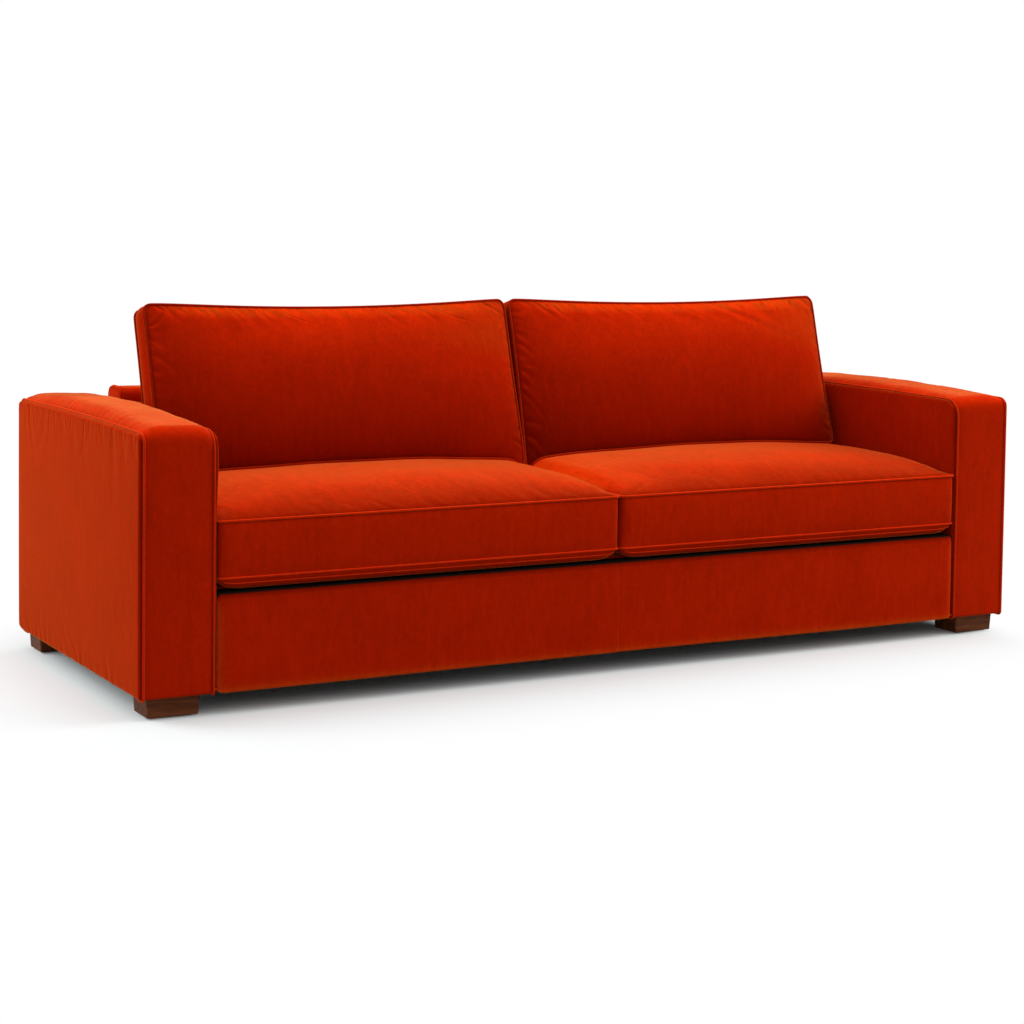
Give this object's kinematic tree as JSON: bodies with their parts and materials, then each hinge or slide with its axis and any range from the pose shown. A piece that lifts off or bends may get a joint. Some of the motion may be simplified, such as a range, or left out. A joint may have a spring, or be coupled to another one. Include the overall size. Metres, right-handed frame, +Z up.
{
  "type": "sofa",
  "caption": "Upholstered track-arm sofa in red-orange velvet with welted loose seat and back cushions on low dark wood block feet.",
  "frame": {"origin": "middle of the sofa's footprint, on the floor", "axes": "+X to the right as seen from in front, +Y towards the back, +Z up"},
  "size_m": [2.3, 0.868, 0.8358],
  "materials": {
    "velvet": "short pile velvet with a soft sheen",
    "foot_wood": "dark stained, satin",
    "frame_wood": "sawn, bare",
    "webbing": "woven elastic",
    "foam": "open cell foam and fibre",
    "dust_cloth": "thin non-woven cloth",
    "felt": "pressed felt"
  },
  "bodies": {
    "frame": {"seat_deck": "velvet", "inside_back": "velvet", "outside_back": "velvet", "back_top_roll": "velvet", "front_border_left": "velvet", "arm_band_left": "velvet", "arm_outer_panel_left": "velvet", "arm_inner_panel_left": "velvet", "front_border_right": "velvet", "arm_band_right": "velvet", "arm_outer_panel_right": "velvet", "arm_inner_panel_right": "velvet", "front_rail": "frame_wood", "rear_rail": "frame_wood", "centre_rail": "frame_wood", "back_rail": "frame_wood", "back_top_rail": "frame_wood", "corner_blocks": "frame_wood", "back_stile_left": "frame_wood", "back_stile_centre": "frame_wood", "back_stile_right": "frame_wood", "side_rail_left": "frame_wood", "arm_base_left": "frame_wood", "arm_front_post_left": "frame_wood", "arm_rear_post_left": "frame_wood", "arm_top_board_left": "frame_wood", "side_rail_right": "frame_wood", "arm_base_right": "frame_wood", "arm_front_post_right": "frame_wood", "arm_rear_post_right": "frame_wood", "arm_top_board_right": "frame_wood", "foot_front_left": "foot_wood", "foot_front_right": "foot_wood", "foot_rear_left": "foot_wood", "foot_rear_right": "foot_wood", "seat_webbing_long": "webbing", "seat_webbing_cross": "webbing", "back_webbing": "webbing", "dust_cover": "dust_cloth", "foot_glides": "felt"},
    "seat_cushion_left": {"seat_cover_left": "velvet", "seat_foam_left": "foam"},
    "back_cushion_left": {"back_cover_left": "velvet", "back_filling_left": "foam"},
    "seat_cushion_right": {"seat_cover_right": "velvet", "seat_foam_right": "foam"},
    "back_cushion_right": {"back_cover_right": "velvet", "back_filling_right": "foam"}
  },
  "joints": [
    {"name": "seat_pull_left", "type": "slide", "parent": "frame", "child": "seat_cushion_left", "axis": [0, -1, 0], "range_m": [0, 0.6]},
    {"name": "seat_pull_right", "type": "slide", "parent": "frame", "child": "seat_cushion_right", "axis": [0, -1, 0], "range_m": [0, 0.6]},
    {"name": "back_lift_left", "type": "slide", "parent": "frame", "child": "back_cushion_left", "axis": [0, 0, 1], "range_m": [0, 0.3]},
    {"name": "back_lift_right", "type": "slide", "parent": "frame", "child": "back_cushion_right", "axis": [0, 0, 1], "range_m": [0, 0.3]}
  ]
}
